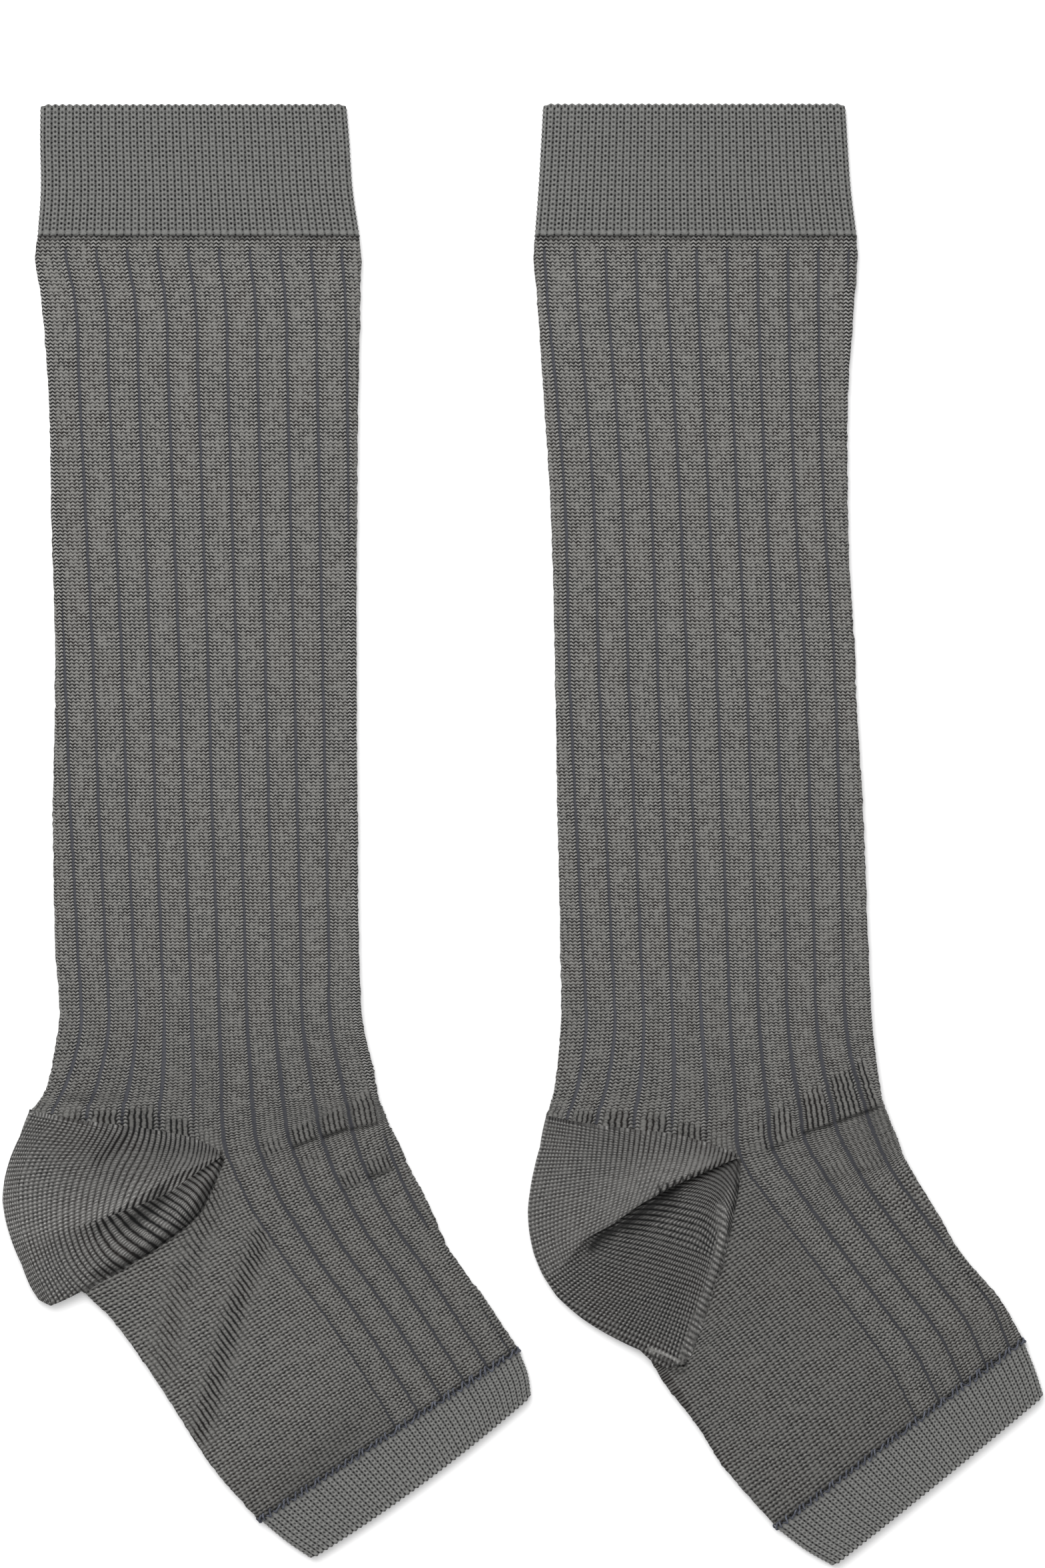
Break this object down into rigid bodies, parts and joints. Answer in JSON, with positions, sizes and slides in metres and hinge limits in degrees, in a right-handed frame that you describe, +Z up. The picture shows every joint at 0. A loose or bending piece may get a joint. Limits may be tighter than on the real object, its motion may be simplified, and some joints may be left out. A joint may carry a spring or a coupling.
{
  "type": "pair of long socks",
  "caption": "Pair of long ribbed knit socks laid flat side by side, with a knitted cuff band, a folded heel and an open toe band.",
  "frame": {"origin": "middle of the pair's outline as seen from above, on the surface that the socks lie on", "axes": "+X to the right across the pair, +Y up the legs towards the cuffs, +Z up from the surface"},
  "size_m": [0.3298, 0.4623, 0.0048],
  "materials": {
    "grey_rib_knit": "matte knitted yarn, ribs between dropped wales",
    "grey_plain_knit": "matte knitted yarn, plain heel knit",
    "grey_eyelet_band_knit": "matte knitted yarn, band of columns with small eyelets",
    "slate_overlock_thread": "matte dark slate sewing thread"
  },
  "bodies": {
    "root": {"left_cuff": "grey_eyelet_band_knit", "left_leg_foot": "grey_rib_knit", "left_heel": "grey_plain_knit", "left_toe_band": "grey_eyelet_band_knit", "left_toe_seam": "slate_overlock_thread", "right_cuff": "grey_eyelet_band_knit", "right_leg_foot": "grey_rib_knit", "right_heel": "grey_plain_knit", "right_toe_band": "grey_eyelet_band_knit", "right_toe_seam": "slate_overlock_thread"}
  },
  "joints": []
}
